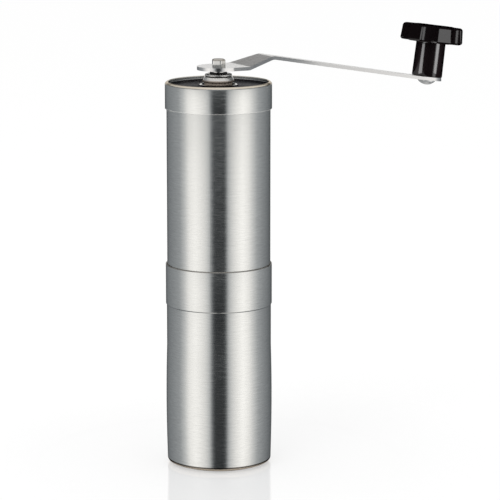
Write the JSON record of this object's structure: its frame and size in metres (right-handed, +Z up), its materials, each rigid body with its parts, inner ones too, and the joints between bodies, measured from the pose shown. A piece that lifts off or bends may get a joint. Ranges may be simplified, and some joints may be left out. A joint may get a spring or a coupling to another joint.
{
  "type": "hand crank coffee grinder",
  "caption": "Slim cylindrical steel hand coffee grinder with a folded strip crank, fluted black knob, lift-off cap lid, conical ceramic burrs and a slip-on grounds cup.",
  "frame": {"origin": "centre of the cup's underside, on the shaft axis, at the table", "axes": "+Z up along the shaft axis, +X along the crank at rest"},
  "size_m": [0.1538, 0.049, 0.2004],
  "materials": {
    "brushed_steel": "fine circumferential brushing, satin",
    "lid_steel": "satin skirt with a polished dish",
    "base_steel": "pressed, satin",
    "turned_steel": "turned, bright",
    "strip_steel": "brushed along its length",
    "fastener_steel": "bright plated",
    "spring_steel": "drawn wire",
    "ceramic": "matt white technical ceramic",
    "carrier_plastic": "black moulded, matt",
    "bush_plastic": "black acetal",
    "adjuster_plastic": "black moulded, satin",
    "knob_plastic": "black, polished",
    "brass": "turned brass"
  },
  "bodies": {
    "cup": {"grounds_cup": "brushed_steel", "cup_base": "base_steel"},
    "grinder": {"hopper_tube": "brushed_steel", "bearing_bridge": "strip_steel", "bearing_housing": "turned_steel", "top_bush": "bush_plastic", "burr_carrier": "carrier_plastic", "lower_bush": "bush_plastic", "outer_burr": "ceramic", "burr_retainer": "carrier_plastic"},
    "lid": {"hopper_lid": "lid_steel"},
    "shaft": {"drive_shaft": "turned_steel", "shaft_circlip": "fastener_steel", "thrust_washer": "fastener_steel", "spring_washer": "fastener_steel", "burr_spring": "spring_steel"},
    "burr": {"inner_burr": "ceramic", "burr_driver": "carrier_plastic"},
    "adjuster": {"adjuster_wheel": "adjuster_plastic", "adjuster_nut": "brass"},
    "crank": {"crank_arm": "strip_steel"},
    "knob": {"knob_grip": "knob_plastic", "knob_insert": "brass", "knob_screw": "fastener_steel", "knob_washer": "bush_plastic"}
  },
  "joints": [
    {"name": "body_lift", "type": "slide", "parent": "cup", "child": "grinder", "axis": [0, 0, 1], "range_m": [0, 0.055]},
    {"name": "crank_spin", "type": "hinge", "parent": "grinder", "child": "shaft", "pos_m": [0, 0, 0.12], "axis": [0, 0, 1], "continuous": true},
    {"name": "crank_lift", "type": "slide", "parent": "shaft", "child": "crank", "axis": [0, 0, 1], "range_m": [0, 0.06]},
    {"name": "lid_lift", "type": "slide", "parent": "grinder", "child": "lid", "axis": [0, 0, 1], "range_m": [0, 0.03]},
    {"name": "knob_spin", "type": "hinge", "parent": "crank", "child": "knob", "pos_m": [0.11195, 0, 0.17452], "axis": [0.1323, 0, 0.9912], "continuous": true},
    {"name": "burr_travel", "type": "slide", "parent": "shaft", "child": "burr", "axis": [0, 0, 1], "range_m": [-0.0008, 0.0008], "deforming": ["burr_spring"]},
    {"name": "adjuster_turn", "type": "hinge", "parent": "burr", "child": "adjuster", "pos_m": [0, 0, 0.067], "axis": [0, 0, 1], "range_deg": [-288, 288]}
  ],
  "couplings": [
    {"joint": "lid_lift", "follows": "crank_lift", "ratio": 0.5},
    {"joint": "adjuster_turn", "follows": "burr_travel", "rad_per_m": 6283.2}
  ]
}
